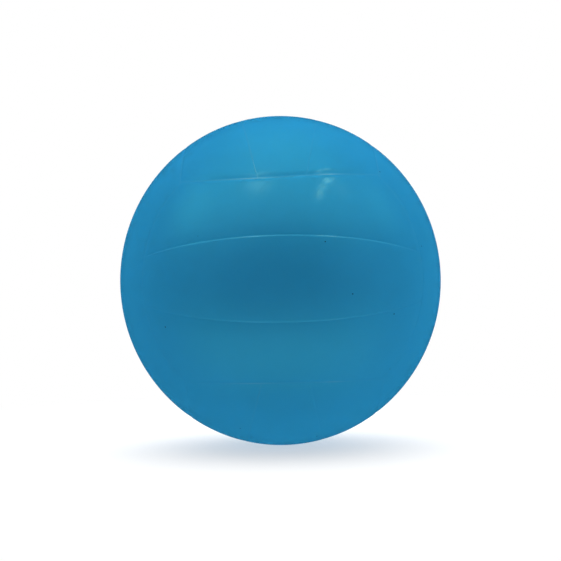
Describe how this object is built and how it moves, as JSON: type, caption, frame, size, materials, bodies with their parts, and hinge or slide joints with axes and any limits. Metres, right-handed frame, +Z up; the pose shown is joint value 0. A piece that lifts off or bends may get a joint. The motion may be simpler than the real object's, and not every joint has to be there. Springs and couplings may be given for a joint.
{
  "type": "inflated play ball",
  "caption": "Slightly tall inflated ball with a one-piece moulded vinyl skin, shallow panel grooves and a pull-out needle valve.",
  "frame": {"origin": "centre of the ball", "axes": "+Z up along the ball's slightly longer diameter, +Y out along the valve's axis, -Y the face that bears the bare label place"},
  "size_m": [0.207, 0.2068, 0.2124],
  "materials": {
    "skin": "glossy moulded vinyl",
    "housing": "plain soft vinyl",
    "stem": "satin moulded rubber",
    "core": "tacky pale rubber"
  },
  "bodies": {
    "ball": {"skin": "skin", "valve_housing": "housing"},
    "valve": {"valve_stem": "stem", "sealing_core": "core"}
  },
  "joints": [
    {"name": "valve_pull", "type": "slide", "parent": "ball", "child": "valve", "axis": [0, 1, 0], "range_m": [0, 0.026]}
  ]
}
